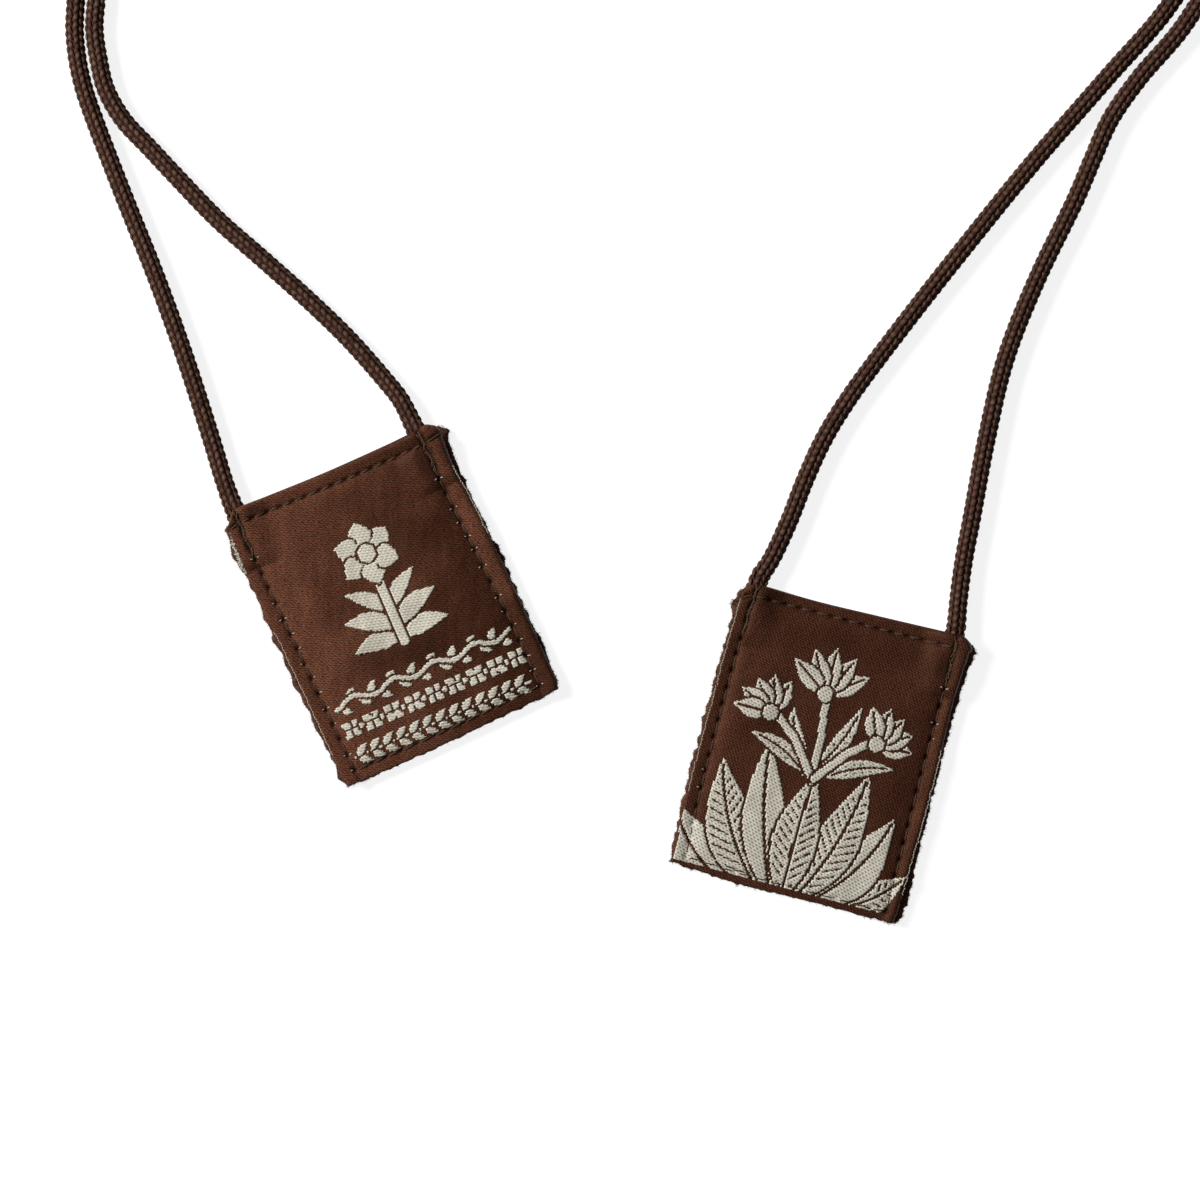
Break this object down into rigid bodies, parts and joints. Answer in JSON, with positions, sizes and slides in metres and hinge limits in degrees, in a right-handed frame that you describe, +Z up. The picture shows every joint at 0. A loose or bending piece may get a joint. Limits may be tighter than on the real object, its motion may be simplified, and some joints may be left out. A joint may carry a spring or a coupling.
{
  "type": "brown scapular",
  "caption": "Small brown cloth scapular laid flat: woven label panels on felted backs, sewn round and joined by braided cords caught in their top corners",
  "frame": {"origin": "on the surface that the part lies on, under the middle of the two panels' common box without the cords", "axes": "+X to the right across both panels, +Y up the sheet towards the cords, +Z up from the surface"},
  "size_m": [0.1763, 0.2095, 0.0042],
  "materials": {
    "woven_label": "woven satin label cloth",
    "felted_back": "felted wool cloth",
    "braided_cord": "round braided cord"
  },
  "bodies": {
    "root": {"left_front": "woven_label", "left_back": "felted_back", "right_front": "woven_label", "right_back": "felted_back", "cord_outer": "braided_cord", "cord_inner": "braided_cord", "outer_end_left": "braided_cord", "inner_end_left": "braided_cord", "inner_end_right": "braided_cord", "outer_end_right": "braided_cord"}
  },
  "joints": []
}
